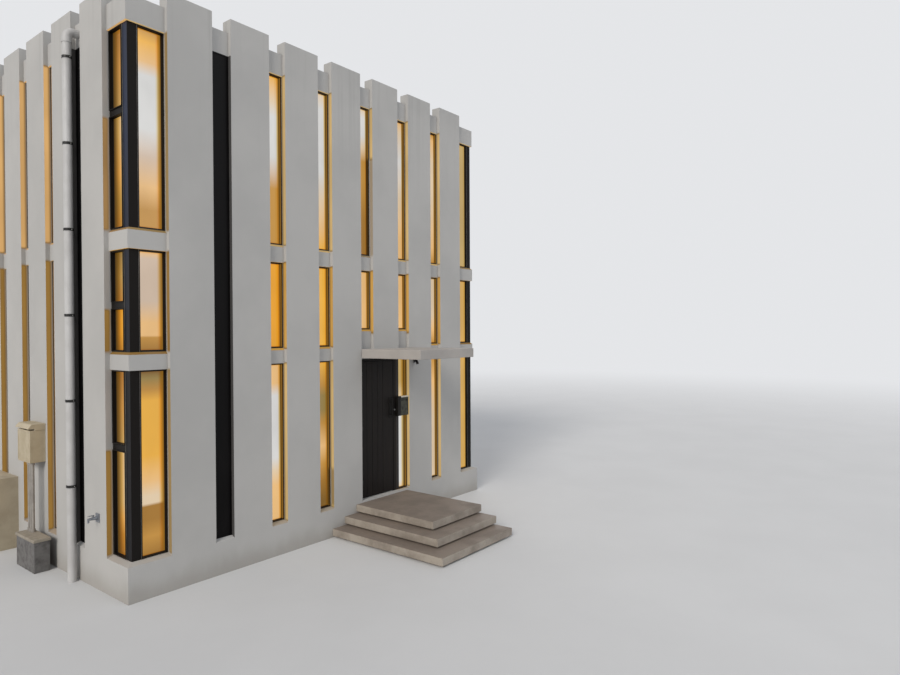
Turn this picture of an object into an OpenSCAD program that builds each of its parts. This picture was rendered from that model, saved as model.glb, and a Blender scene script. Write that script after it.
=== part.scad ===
// Modern concrete house of three window rows, with projecting piers, wrap-around
// corner windows, an entrance with canopy and three floating steps. Millimetres.
// The origin is the middle of the house on the ground. The entrance faces -Y.

/* [Plan] */
// Distance from one window strip to the next
bay_w = 910; // [850:10:1000]
// Width of a window strip between two piers
strip_w = 280; // [220:10:340]
// Width of a corner window, from the house corner to the first pier
corner_w = 555; // [480:5:700]
// Number of window strips across the front
front_bays = 6; // [6:1:8]
// Number of window strips along each side
side_bays = 6; // [5:1:9]

/* [Heights] */
// Top of the ground floor, which is the door threshold
floor_h = 450; // [430:10:520]
// Height of the lowest window frames above the ground floor
sill_up = 30; // [20:5:60]
// Height of the lowest windows
low_window_h = 2350; // [2100:10:2500]
// Height of the wall between the lowest and the middle windows
low_band_h = 225; // [200:5:400]
// Height of the middle windows
mid_window_h = 1275; // [1100:5:1500]
// How much higher the two middle windows over the entrance start
raised_by = 275; // [240:5:500]
// Height of the wall between the middle and the upper windows
mid_band_h = 260; // [200:5:400]
// Height of the upper windows
upper_window_h = 2510; // [2200:10:2700]
// Height of the wall over the upper windows
parapet_h = 320; // [280:10:450]
// How far the piers rise above the wall between them
pier_rise = 180; // [60:10:300]

/* [Walls and floors] */
// Thickness of the wall at a pier
wall_t = 180; // [160:5:240]
// How far the wall between two piers is set back from them
recess = 60; // [30:5:80]
// Rise of a sloping sill from its front edge to the frame
sill_rise = 30; // [10:5:40]
// Rise of the sloping sills of the lowest windows
low_sill_rise = 30; // [10:5:60]
// Thickness of the floors
floor_t = 180; // [150:5:200]
// Thickness of the roof slab
roof_t = 180; // [150:5:220]
// Gap between the upper window heads and the underside of the roof slab
roof_gap = 20; // [0:5:40]
// Thickness of the foundation slab
foundation_t = 200; // [150:10:230]

/* [Windows] */
// Distance from the pier face to the front of a window frame
frame_set = 90; // [85:5:100]
// Depth of a window frame
frame_t = 60; // [58:1:60]
// Face width of a window frame
frame_face = 20; // [14:2:40]
// Width of the square corner post between two corner windows
post_w = 115; // [90:5:140]
// Height of the bar across a side corner window
transom_h = 100; // [50:5:120]
// Thickness of the glazing
pane_t = 16; // [12:1:20]
// Distance from the front of a window frame to its glazing
pane_set = 38; // [20:1:38]

/* [Entrance] */
// Distance from the pier face to the front of the door frame
door_set = 70; // [60:5:75]
// Depth of the door frame
door_frame_t = 100; // [80:5:105]
// Face width of the door frame
jamb_w = 45; // [35:5:60]
// Width of the post between the door and its side window
mullion_w = 70; // [50:5:90]
// Thickness of the door leaf
leaf_t = 45; // [38:1:50]
// Gap round the door leaf
leaf_gap = 8; // [7:1:10]
// Distance from the front of the door frame to the front of the leaf
leaf_set = 5; // [2:1:10]
// Radius of the hinge barrels
barrel_r = 8; // [6:1:10]
// How far the canopy stands out from the wall
canopy_d = 1300; // [900:10:1600]
// Width of the canopy
canopy_w = 1400; // [1200:10:1600]
// Thickness of the canopy
canopy_t = 150; // [100:5:160]
// Height of the canopy's underside above the door head
canopy_gap = 20; // [10:5:40]

/* [Steps] */
// Height of one step
riser = 140; // [130:1:143]
// Thickness of a step slab
slab_t = 115; // [90:5:120]
// How far the foot of a step is set back under its slab
foot_inset = 60; // [30:5:100]
// Depth of the top step from the wall
landing_d = 1655; // [1300:5:1800]
// How far each lower step stands out at the front
tread = 300; // [260:5:340]
// How far each lower step stands out at its left side
side_tread = 260; // [200:5:320]
// How far the top step reaches past the left side of the doorway
landing_over = 145; // [50:5:250]
// Distance from the right side of the doorway to the right side of the steps
step_inset = 75; // [0:5:150]

/* [Fittings on the left side] */
// Radius of the downpipe
pipe_r = 55; // [40:1:60]
// Distance from the pier face to the middle of the downpipe
pipe_off = 90; // [80:1:120]
// Number of brackets on the downpipe
brackets = 6; // [4:1:8]
// Height of the lowest bracket
bracket_z = 1270; // [900:10:1500]
// Distance from the pipe's outlet down to the highest bracket
bracket_drop = 350; // [250:10:900]
// Width of the meter box
meter_w = 460; // [350:10:520]
// Height of the meter box
meter_h = 550; // [450:10:700]
// Depth of the meter box
meter_d = 200; // [120:5:240]
// Height of the underside of the meter box
meter_z = 1450; // [1200:10:1700]
// Height of the low service unit
service_h = 460; // [350:10:600]
// Height of the outdoor unit
outdoor_h = 1090; // [700:10:1300]

/* [Hidden] */
$fn = 48;

wall_colour = "#d8d6d2";
frame_colour = "#3a322c";
glass_colour = "#f2d9a0";
door_colour = "#33291f";
metal_colour = "#b9bcc0";
box_colour = "#c9bfa8";

cut = 1;
pier_w = bay_w - strip_w;
house_w = 2 * corner_w + front_bays * bay_w + pier_w;
house_d = 2 * corner_w + side_bays * bay_w + pier_w;
post_end = frame_set + post_w;
door_bay = 4;

low_sill = floor_h + sill_up;
low_head = low_sill + low_window_h;
mid_sill = low_head + low_band_h;
mid_head = mid_sill + mid_window_h;
raised_sill = mid_sill + raised_by;
upper_sill = mid_head + mid_band_h;
upper_head = upper_sill + upper_window_h;
strip_top = upper_head + parapet_h;
house_h = strip_top + pier_rise;

low_rows = [low_sill, low_head];
mid_rows = [mid_sill, mid_head];
upper_rows = [upper_sill, upper_head];
low_transom = 1380;
mid_transom = 585;
upper_transom = 1460;

function pier_x(i) = corner_w + (i - 1) * bay_w;
function strip_x(i) = pier_x(i) + pier_w;

// The four sides: x runs along the wall from its left end, y into the wall.
module on_front() { translate([-house_w / 2, -house_d / 2, 0]) children(); }
module on_right() { translate([house_w / 2, -house_d / 2, 0]) rotate([0, 0, 90]) children(); }
module on_back() { translate([house_w / 2, house_d / 2, 0]) rotate([0, 0, 180]) children(); }
module on_left() { translate([-house_w / 2, house_d / 2, 0]) rotate([0, 0, -90]) children(); }

// Each strip of a side as its window rows; the slit is one dark row of full height.
three_rows = [low_rows, mid_rows, upper_rows];
tall_rows = [[low_sill, mid_head], upper_rows];
raised_rows = [[raised_sill, mid_head], upper_rows];
function front_rows(i) = i == 1 ? [] : (i == door_bay || i == door_bay + 1) ? raised_rows : three_rows;
function left_rows(i) = i == side_bays ? [] : tall_rows;
function right_rows(i) = i == 1 ? [] : tall_rows;
function back_rows(i) = i == front_bays ? [] : three_rows;

front_set = [for (i = [1:front_bays]) front_rows(i)];
left_set = [for (i = [1:side_bays]) left_rows(i)];
right_set = [for (i = [1:side_bays]) right_rows(i)];
back_set = [for (i = [1:front_bays]) back_rows(i)];

// Glazed openings of a side as [x, width, bottom, top, height of a transom or 0].
function strip_windows(rows) = [
    for (i = [1:len(rows)]) for (r = rows[i - 1]) [strip_x(i), strip_w, r[0], r[1], 0]
];
function corner_row(length, r, bar) = [
    [post_end, corner_w - post_end, r[0], r[1], bar],
    [length - corner_w, corner_w - post_end, r[0], r[1], bar]
];
function corner_windows(length, bars) = concat(
    corner_row(length, low_rows, bars ? low_transom : 0),
    corner_row(length, mid_rows, bars ? mid_transom : 0),
    corner_row(length, upper_rows, bars ? upper_transom : 0)
);
front_windows = concat(strip_windows(front_set), corner_windows(house_w, false));
back_windows = concat(strip_windows(back_set), corner_windows(house_w, false));
left_windows = concat(strip_windows(left_set), corner_windows(house_d, true));
right_windows = concat(strip_windows(right_set), corner_windows(house_d, true));

module slab(low, high) {
    inner_w = house_w - 2 * wall_t;
    inner_d = house_d - 2 * wall_t;
    translate([-inner_w / 2, -inner_d / 2, low]) cube([inner_w, inner_d, high - low]);
}

module foundation() { color(wall_colour) slab(0, foundation_t); }
module ground_floor() { color(wall_colour) slab(floor_h - floor_t, floor_h); }
module upper_floor() { color(wall_colour) slab(upper_sill - floor_t, upper_sill); }
module roof_slab() { color(wall_colour) slab(upper_head + roof_gap, upper_head + roof_gap + roof_t); }

// The middle floor spans from front to back and stops short of the tall side windows.
module middle_floor() {
    x0 = pier_x(2) - house_w / 2;
    inner_d = house_d - 2 * wall_t;
    color(wall_colour) translate([x0, -inner_d / 2, mid_sill - floor_t]) cube([-2 * x0, inner_d, floor_t]);
}

// A wedge along x, taken off a wall top so that it slopes out from a depth to the face.
module sill_cut(x, w, top, rise, depth = frame_set) {
    translate([x, 0, top]) rotate([90, 0, 90]) linear_extrude(w)
        polygon([[depth, 0], [0, -rise], [-cut, -rise], [-cut, cut], [depth, cut]]);
}

// The wall under the lowest windows, flush with the piers that stand on it. At each
// end the slopes of two sides meet in a mitre.
module plinth(length, start, end, strips, slit) {
    color(wall_colour) difference() {
        translate([start, 0, 0]) cube([end - start, wall_t, low_sill]);
        for (i = strips) sill_cut(strip_x(i), strip_w, low_sill, low_sill_rise, i == slit ? recess : frame_set);
        for (side = [0, 1]) translate([side * length, 0, 0]) mirror([side, 0, 0]) {
            sill_cut(-cut, corner_w + cut, low_sill, low_sill_rise);
            mirror([1, -1, 0]) sill_cut(-cut, corner_w + cut, low_sill, low_sill_rise);
        }
    }
}

module front_plinth() {
    strips = [for (i = [1:front_bays]) if (i != door_bay && i != door_bay + 1) i];
    color(wall_colour) on_front() difference() {
        plinth(house_w, 0, house_w, strips, 1);
        translate([strip_x(door_bay), -cut, floor_h]) cube([door_x1 - door_x0, wall_t + 2 * cut, low_sill]);
    }
}
module back_plinth() {
    color(wall_colour) on_back() plinth(house_w, 0, house_w, [1:front_bays], front_bays);
}
module left_plinth() {
    color(wall_colour) on_left() plinth(house_d, wall_t, house_d - wall_t, [1:side_bays], side_bays);
}
module right_plinth() {
    color(wall_colour) on_right() plinth(house_d, wall_t, house_d - wall_t, [1:side_bays], 1);
}

module pier(i, bottom = low_sill) {
    translate([pier_x(i), 0, bottom]) cube([pier_w, wall_t, house_h - bottom]);
}

module front_piers_left() { color(wall_colour) on_front() for (i = [1:door_bay]) pier(i); }
module front_pier_over_door() { color(wall_colour) on_front() pier(door_bay + 1, low_head); }
module front_piers_right() { color(wall_colour) on_front() for (i = [door_bay + 2:front_bays + 1]) pier(i); }
module left_piers() { color(wall_colour) on_left() for (i = [1:side_bays + 1]) pier(i); }
module right_piers() { color(wall_colour) on_right() for (i = [1:side_bays + 1]) pier(i); }
module back_piers() { color(wall_colour) on_back() for (i = [1:front_bays + 1]) pier(i); }

// A block between two piers, with a sloping sill where a window stands on it.
module block(x, w, low, high, rise) {
    translate([x, 0, 0]) rotate([90, 0, 90]) linear_extrude(w)
        polygon([[recess, low], [wall_t, low], [wall_t, high], [frame_set, high], [recess, high - rise]]);
}

// Every block of one strip: below each window row but the lowest, and over the top row.
module strip_blocks(i, rows, base) {
    heads = concat(base, [for (r = rows) r[1]]);
    sills = [for (r = rows) if (r[0] > low_sill) r[0]];
    first = len(heads) - len(sills) - 1;
    for (k = [0:1:len(sills) - 1]) block(strip_x(i), strip_w, heads[first + k], sills[k], sill_rise);
    block(strip_x(i), strip_w, upper_head, strip_top, 0);
}

module side_blocks(rows) {
    for (i = [1:len(rows)]) strip_blocks(i, rows[i - 1], rows[i - 1] == raised_rows ? [low_head] : []);
}

module front_spandrels() { color(wall_colour) on_front() side_blocks(front_set); }
module left_spandrels() { color(wall_colour) on_left() side_blocks(left_set); }
module right_spandrels() { color(wall_colour) on_right() side_blocks(right_set); }
module back_spandrels() { color(wall_colour) on_back() side_blocks(back_set); }

// A block that runs round a house corner from pier to pier, the corner at the origin.
module corner_block(low, high, rise) {
    leg = corner_w - recess;
    difference() {
        translate([recess, recess, low]) cube([leg, leg, high - low]);
        translate([wall_t, wall_t, low - cut]) cube([corner_w, corner_w, high - low + 2 * cut]);
        if (rise > 0) {
            corner_bevel(high, rise);
            mirror([1, -1, 0]) corner_bevel(high, rise);
        }
    }
}

module corner_bevel(high, rise) {
    translate([0, 0, high]) rotate([90, 0, 90]) linear_extrude(corner_w + cut)
        polygon([[frame_set, 0], [recess, -rise], [recess - cut, -rise], [recess - cut, cut], [frame_set, cut]]);
}

module each_corner() {
    for (side_x = [0, 1]) mirror([side_x, 0, 0])
        for (side_y = [0, 1]) mirror([0, side_y, 0])
            translate([-house_w / 2, -house_d / 2, 0]) children();
}

module corner_blocks() {
    color(wall_colour) each_corner() {
        corner_block(low_head, mid_sill, sill_rise);
        corner_block(mid_head, upper_sill, sill_rise);
        corner_block(upper_head, strip_top, 0);
    }
}

module corner_posts() {
    color(frame_colour) each_corner() for (r = three_rows) {
        translate([frame_set, frame_set, r[0]]) cube([post_w, post_w, r[1] - r[0]]);
    }
}

// A window frame, with a bar across it where the opening has one.
module window_frame(w) {
    tall = w[3] - w[2];
    clear_w = w[1] - 2 * frame_face;
    translate([w[0], frame_set, w[2]]) difference() {
        cube([w[1], frame_t, tall]);
        if (w[4] == 0) {
            translate([frame_face, -cut, frame_face])
                cube([clear_w, frame_t + 2 * cut, tall - 2 * frame_face]);
        } else {
            translate([frame_face, -cut, frame_face])
                cube([clear_w, frame_t + 2 * cut, w[4] - transom_h / 2 - frame_face]);
            translate([frame_face, -cut, w[4] + transom_h / 2])
                cube([clear_w, frame_t + 2 * cut, tall - w[4] - transom_h / 2 - frame_face]);
        }
    }
}

module window_glass(w) {
    tall = w[3] - w[2];
    clear_w = w[1] - 2 * frame_face;
    translate([w[0] + frame_face, frame_set + pane_set, w[2]]) {
        if (w[4] == 0) {
            translate([0, 0, frame_face]) cube([clear_w, pane_t, tall - 2 * frame_face]);
        } else {
            translate([0, 0, frame_face]) cube([clear_w, pane_t, w[4] - transom_h / 2 - frame_face]);
            translate([0, 0, w[4] + transom_h / 2])
                cube([clear_w, pane_t, tall - w[4] - transom_h / 2 - frame_face]);
        }
    }
}

module front_frames() { color(frame_colour) on_front() for (w = front_windows) window_frame(w); }
module left_frames() { color(frame_colour) on_left() for (w = left_windows) window_frame(w); }
module right_frames() { color(frame_colour) on_right() for (w = right_windows) window_frame(w); }
module back_frames() { color(frame_colour) on_back() for (w = back_windows) window_frame(w); }

module front_glass() {
    color(glass_colour) on_front() {
        for (w = front_windows) window_glass(w);
        translate([side_x0, door_set + pane_set, floor_h + side_face])
            cube([side_x1 - side_x0, pane_t, low_head - floor_h - 2 * side_face]);
    }
}
module left_glass() { color(glass_colour) on_left() for (w = left_windows) window_glass(w); }
module right_glass() { color(glass_colour) on_right() for (w = right_windows) window_glass(w); }
module back_glass() { color(glass_colour) on_back() for (w = back_windows) window_glass(w); }

// The dark panel of full height in the strip beside a corner, level with the wall over it.
slit_rim = 14;
slit_sunk = 8;

module slit_panel(i) {
    tall = upper_head - low_sill;
    translate([strip_x(i), recess, low_sill]) difference() {
        cube([strip_w, frame_set + frame_t - recess, tall]);
        translate([slit_rim, -cut, slit_rim])
            cube([strip_w - 2 * slit_rim, slit_sunk + cut, tall - 2 * slit_rim]);
    }
}

module slit_panels() {
    color(door_colour) {
        on_front() slit_panel(1);
        on_left() slit_panel(side_bays);
        on_right() slit_panel(1);
        on_back() slit_panel(front_bays);
    }
}

// The entrance: the doorway takes two strips and the pier between them.
door_x0 = strip_x(door_bay);
door_x1 = strip_x(door_bay + 1) + strip_w;
leaf_x0 = door_x0 + jamb_w;
side_x0 = strip_x(door_bay + 1);
leaf_x1 = side_x0 - mullion_w;
side_face = 24;
side_x1 = door_x1 - side_face;
leaf_y = door_set + leaf_set;
leaf_top = low_head - jamb_w - leaf_gap;
leaf_bottom = floor_h + leaf_gap + 4;
pivot_x = leaf_x0 + leaf_gap / 2;
pivot_y = door_set - barrel_r;

module door_frame() {
    tall = low_head - floor_h;
    color(frame_colour) on_front() translate([0, door_set, floor_h]) difference() {
        translate([door_x0, 0, 0]) cube([door_x1 - door_x0, door_frame_t, tall]);
        translate([leaf_x0, -cut, -cut]) cube([leaf_x1 - leaf_x0, door_frame_t + 2 * cut, tall - jamb_w + cut]);
        translate([side_x0, -cut, side_face])
            cube([side_x1 - side_x0, door_frame_t + 2 * cut, tall - 2 * side_face]);
    }
}

// The leaf has shallow upright grooves on its outer face.
groove_w = 8;
groove_t = 4;
grooves = 4;

module door_leaf() {
    leaf_w = leaf_x1 - leaf_x0 - 2 * leaf_gap;
    color(door_colour) on_front() translate([leaf_x0 + leaf_gap, leaf_y, leaf_bottom]) difference() {
        cube([leaf_w, leaf_t, leaf_top - leaf_bottom]);
        for (k = [1:grooves]) translate([k * leaf_w / (grooves + 2) - groove_w / 2, -cut, -cut])
            cube([groove_w, groove_t + cut, leaf_top - leaf_bottom + 2 * cut]);
    }
}

// A pull bar on two posts stands on a plate, with two lock cylinders beside it.
plate_x = leaf_x1 - leaf_gap - 100;
plate_w = 84;
plate_h = 380;
plate_z = 1755;
plate_t = 6;
pull_x = 24;
pull_h = 330;
pull_off = 58;
pull_r = 12;
post_r = 8;
post_in = 45;
lock_x = 60;
lock_r = 16;
lock_t = 12;
lock_levels = [110, 270];

module door_handle() {
    color(metal_colour) on_front() translate([plate_x, leaf_y, plate_z]) {
        translate([0, -plate_t, 0]) cube([plate_w, plate_t, plate_h]);
        translate([pull_x, -pull_off, (plate_h - pull_h) / 2]) {
            cylinder(r = pull_r, h = pull_h);
            for (z = [post_in, pull_h - post_in]) translate([0, 0, z]) rotate([-90, 0, 0])
                cylinder(r = post_r, h = pull_off - plate_t / 2);
        }
        for (z = lock_levels) translate([lock_x, -plate_t - lock_t, z]) rotate([-90, 0, 0])
            cylinder(r = lock_r, h = lock_t + plate_t / 2);
    }
}

// Each hinge has a lower barrel on the frame and an upper one on the leaf.
barrel_h = 55;
barrel_margin = 180;
barrel_gap = 0.4;
hinge_span = leaf_top - leaf_bottom - 2 * barrel_margin - 2 * barrel_h;
hinge_levels = [for (k = [0:2]) leaf_bottom + barrel_margin + k * hinge_span / 2];
flap_w = 32;
flap_t = 6;

module frame_hinges() {
    color(metal_colour) on_front() for (z = hinge_levels) translate([pivot_x, pivot_y, z]) {
        cylinder(r = barrel_r, h = barrel_h);
        translate([-flap_w, barrel_r - flap_t, 0]) cube([flap_w, flap_t, barrel_h]);
    }
}

module leaf_hinges() {
    back = leaf_y - pivot_y;
    color(metal_colour) on_front() for (z = hinge_levels)
        translate([pivot_x, pivot_y, z + barrel_h + barrel_gap]) {
            cylinder(r = barrel_r, h = barrel_h);
            translate([0, barrel_r - flap_t, 0]) cube([flap_w + 6, back - barrel_r + flap_t, barrel_h]);
        }
}

box_edge = 10;
mail_z = 1780;
mail_h = 350;
mail_d = 60;
mail_lid = 22;

// The letter box has a lid that stands out over its slot.
module mailbox() {
    mail_w = side_x1 - side_x0 + 2 * box_edge;
    color(metal_colour) on_front() translate([side_x0 - box_edge, door_set - mail_d, mail_z]) {
        difference() {
            cube([mail_w, mail_d, mail_h - mail_lid]);
            translate([30, -cut, mail_h - 90]) cube([mail_w - 60, 12 + cut, 34]);
        }
        translate([0, -8, mail_h - mail_lid]) cube([mail_w, mail_d + 8, mail_lid]);
    }
}

module canopy() {
    color(wall_colour) on_front() translate([door_x0, -canopy_d, low_head + canopy_gap])
        cube([canopy_w, canopy_d, canopy_t]);
}

// A small spotlight on a wall plate: a stub and a tube that points out and down.
lamp_x = door_x0 + canopy_w - 70;
lamp_z = low_head - 75;
lamp_plate_w = 44;
lamp_plate_h = 70;
lamp_plate_t = 10;
lamp_r = 24;
lamp_h = 125;
lamp_off = 58;
lamp_tilt = 28;

module canopy_lamp() {
    color(door_colour) on_front() translate([lamp_x, 0, lamp_z]) {
        translate([-lamp_plate_w / 2, -lamp_plate_t, -lamp_plate_h / 2])
            cube([lamp_plate_w, lamp_plate_t, lamp_plate_h]);
        rotate([90, 0, 0]) cylinder(r = 9, h = lamp_off);
        translate([0, -lamp_off, 0]) rotate([-lamp_tilt, 0, 0]) translate([0, 0, -lamp_h / 2]) {
            cylinder(r = lamp_r, h = lamp_h);
            translate([0, 0, lamp_h - 10]) cylinder(r = lamp_r + 3, h = 14);
        }
    }
}

// A floating step: a slab on a foot that is set back, k steps below the top one.
module step(k) {
    x0 = door_x0 - landing_over - k * side_tread;
    x1 = door_x1 - step_inset;
    deep = landing_d + k * tread;
    top = (3 - k) * riser;
    color(wall_colour) on_front() {
        translate([x0, -deep, top - slab_t]) cube([x1 - x0, deep, slab_t]);
        translate([x0 + foot_inset, foot_inset - deep, top - riser])
            cube([x1 - x0 - 2 * foot_inset, deep - foot_inset, riser - slab_t]);
    }
}

module step_lower() { step(2); }
module step_middle() { step(1); }
module step_upper() { step(0); }

// Fittings on the left side. Their places run from the front corner, so x is mirrored.
module from_front_corner() {
    on_left() translate([house_d, 0, 0]) mirror([1, 0, 0]) children();
}

pipe_x = corner_w + bay_w - pipe_r - 50;
bend_r = 85;
outlet_drop = 150;
outlet_z = strip_top - outlet_drop;

// The pipe comes out of the wall under its top, turns down and runs to the ground.
module downpipe() {
    straight_top = outlet_z - bend_r;
    color(metal_colour) from_front_corner() translate([pipe_x, -pipe_off, 0]) {
        cylinder(r = pipe_r, h = straight_top);
        translate([0, bend_r, straight_top]) rotate([0, -90, 0]) rotate([0, 0, -90])
            rotate_extrude(angle = 90) translate([bend_r, 0]) circle(r = pipe_r);
        translate([0, bend_r, outlet_z]) rotate([-90, 0, 0]) cylinder(r = pipe_r, h = recess + pipe_off - bend_r);
        translate([0, 0, straight_top - 70]) cylinder(r = pipe_r + 7, h = 70);
    }
}

band_t = 6;
band_h = 34;
band_gap = 0.3;
arm_t = 8;
arm_over = 20;

module pipe_brackets() {
    pitch = (outlet_z - bracket_drop - bracket_z) / (brackets - 1);
    color(metal_colour) from_front_corner()
        for (k = [0:brackets - 1]) translate([pipe_x, -pipe_off, bracket_z + k * pitch]) bracket();
}

// A band round the pipe with an arm that reaches over to the pier.
module bracket() {
    arm_x = corner_w + bay_w + arm_over - pipe_x;
    translate([0, 0, -band_h / 2]) {
        difference() {
            union() {
                cylinder(r = pipe_r + band_t, h = band_h);
                translate([0, -arm_t / 2, 0]) cube([arm_x, arm_t, band_h]);
            }
            translate([0, 0, -cut]) cylinder(r = pipe_r + band_gap, h = band_h + 2 * cut);
        }
        translate([arm_x - arm_t, -arm_t / 2, 0]) cube([arm_t, pipe_off + arm_t / 2, band_h]);
    }
}

meter_x = corner_w + bay_w + pier_w + strip_w + 70;
service_w = 640;
service_d = 200;
service_off = 100;
service_over = 245;
service_x = meter_x + service_over - service_w;
service_lid = 40;
conduit_r = 20;
hood_h = 90;
hood_over = 25;
hood_side = 8;
slot_deep = 60;

// The meter box has a sloping hood over a dark slot at the top of its front.
module meter_box() {
    color(box_colour) from_front_corner() translate([meter_x, 0, meter_z]) {
        difference() {
            translate([0, -meter_d, 0]) cube([meter_w, meter_d, meter_h - hood_h]);
            translate([24, -meter_d - cut, 24]) cube([meter_w - 48, 6 + cut, meter_h - hood_h - 48]);
        }
        translate([-hood_side, 0, meter_h - hood_h]) rotate([90, 0, 90]) linear_extrude(meter_w + 2 * hood_side)
            polygon([[0, 0], [slot_deep - meter_d, 0], [slot_deep - meter_d, 25], [-meter_d - hood_over, 25],
                [-meter_d - hood_over, 40], [-meter_d + 20, hood_h], [0, hood_h]]);
    }
}

module meter_conduits() {
    rise = meter_z - service_h;
    color(metal_colour) from_front_corner() for (k = [0:2])
        translate([meter_x + 50 + k * 70, -meter_d + 50, service_h]) {
            cylinder(r = conduit_r, h = rise);
            cylinder(r = conduit_r + 8, h = 45);
            translate([0, 0, rise - 35]) cylinder(r = conduit_r + 6, h = 35);
        }
}

module service_unit() {
    color(box_colour) from_front_corner() translate([service_x, -service_off - service_d, 0]) {
        cube([service_w, service_d, service_h - service_lid]);
        translate([-12, -12, service_h - service_lid]) cube([service_w + 24, service_d + 24, service_lid]);
    }
}

outdoor_x = corner_w + 3 * bay_w + 225;
outdoor_w = 780;
outdoor_d = 320;
fan_r = 270;
fan_ring = 22;
fan_deep = 30;

// The outdoor unit has a round guard of rings over a recess in its front.
module outdoor_unit() {
    fan_z = outdoor_h * 0.58;
    color(box_colour) from_front_corner() translate([outdoor_x, -outdoor_d, 0]) {
        difference() {
            cube([outdoor_w, outdoor_d, outdoor_h]);
            translate([outdoor_w / 2, -cut, fan_z]) rotate([-90, 0, 0]) difference() {
                cylinder(r = fan_r, h = fan_deep + cut);
                for (k = [0:4]) translate([0, 0, -cut]) difference() {
                    cylinder(r = 40 + k * 50 + fan_ring / 2, h = fan_deep + 3 * cut);
                    if (k > 0) translate([0, 0, -cut])
                        cylinder(r = 40 + k * 50 - fan_ring / 2, h = fan_deep + 5 * cut);
                }
            }
            translate([60, -cut, 60]) cube([outdoor_w - 120, 8 + cut, 90]);
        }
    }
}

tap_x = corner_w + 230;
tap_z = 930;
tap_plate_w = 90;
tap_plate_h = 110;
tap_plate_t = 14;
tap_reach = 130;
spout_h = 45;
valve_h = 42;

// An outdoor tap: a wall plate, a tapering body, a spout at its end and a valve with a lever.
module wall_outlet() {
    color(metal_colour) from_front_corner() translate([tap_x, 0, tap_z]) {
        translate([-tap_plate_w / 2, -tap_plate_t, -tap_plate_h / 2])
            cube([tap_plate_w, tap_plate_t, tap_plate_h]);
        rotate([90, 0, 0]) cylinder(r1 = 26, r2 = 13, h = tap_reach);
        translate([0, -tap_reach + 8, -spout_h]) cylinder(r = 12, h = spout_h + 10);
        translate([0, -tap_reach / 2, 0]) cylinder(r = 10, h = valve_h);
        translate([-9, -tap_reach / 2 - 60, valve_h - 6]) cube([18, 76, 8]);
    }
}

foundation();
ground_floor();
middle_floor();
upper_floor();
roof_slab();
front_plinth();
back_plinth();
left_plinth();
right_plinth();
front_piers_left();
front_pier_over_door();
front_piers_right();
left_piers();
right_piers();
back_piers();
front_spandrels();
left_spandrels();
right_spandrels();
back_spandrels();
corner_blocks();
corner_posts();
front_frames();
left_frames();
right_frames();
back_frames();
front_glass();
left_glass();
right_glass();
back_glass();
slit_panels();
canopy();
step_lower();
step_middle();
step_upper();
door_frame();
frame_hinges();
mailbox();
canopy_lamp();
downpipe();
pipe_brackets();
meter_box();
meter_conduits();
service_unit();
outdoor_unit();
wall_outlet();
door_leaf();
leaf_hinges();
door_handle();
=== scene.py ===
import math

import bmesh
import bpy
from mathutils import Matrix, Vector


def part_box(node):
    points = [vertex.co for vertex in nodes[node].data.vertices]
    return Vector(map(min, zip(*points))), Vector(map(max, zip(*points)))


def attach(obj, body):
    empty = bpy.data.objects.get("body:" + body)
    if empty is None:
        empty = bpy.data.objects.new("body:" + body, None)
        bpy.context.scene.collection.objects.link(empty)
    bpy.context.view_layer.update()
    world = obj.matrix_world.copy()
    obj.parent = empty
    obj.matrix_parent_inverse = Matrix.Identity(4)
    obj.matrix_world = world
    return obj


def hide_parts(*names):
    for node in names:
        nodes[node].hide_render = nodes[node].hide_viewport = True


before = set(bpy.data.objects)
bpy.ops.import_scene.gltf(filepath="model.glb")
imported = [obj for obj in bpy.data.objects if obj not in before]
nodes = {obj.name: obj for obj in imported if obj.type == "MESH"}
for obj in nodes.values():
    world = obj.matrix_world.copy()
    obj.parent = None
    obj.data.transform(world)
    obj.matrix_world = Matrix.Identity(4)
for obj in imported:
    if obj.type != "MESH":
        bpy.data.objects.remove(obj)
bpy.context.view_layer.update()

scene = bpy.context.scene
print("stage: frame loaded with", len(nodes), "nodes")


def addObject(name, data):
    ob = bpy.data.objects.new(name, data)
    scene.collection.objects.link(ob)
    return ob



# the camera, at the height and angle of the photograph

shot = {
    "place": (-7.3308, -11.4912, 3.3006),  # metres, over the street in front of the left corner
    "yaw": 51.847,  # degrees from +Y towards +X
    "pitch": -0.587,
    "roll": -0.2725,
    "lens": 25.964,
    "sensor": 36.0,
    "clip": (0.05, 400.0),
}


def makeCamera(s):
    yaw, pitch, roll = (math.radians(s[key]) for key in ("yaw", "pitch", "roll"))
    ahead = Vector((math.sin(yaw) * math.cos(pitch), math.cos(yaw) * math.cos(pitch), math.sin(pitch)))
    level = Vector((math.cos(yaw), -math.sin(yaw), 0))
    rise = level.cross(ahead)
    right = math.cos(roll) * level + math.sin(roll) * rise
    up = right.cross(ahead)
    data = bpy.data.cameras.new("streetCamera")
    data.lens, data.sensor_width, data.sensor_fit = s["lens"], s["sensor"], "HORIZONTAL"
    data.clip_start, data.clip_end = s["clip"]
    cam = addObject("streetCamera", data)
    turn = Matrix((right, up, -ahead)).transposed()
    cam.matrix_world = Matrix.Translation(Vector(s["place"])) @ turn.to_4x4()
    scene.camera = cam


makeCamera(shot)

# helpers for node trees; a noise is given as its scale, detail and roughness, and its stretch if it has one

black = (0, 0, 0)


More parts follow.
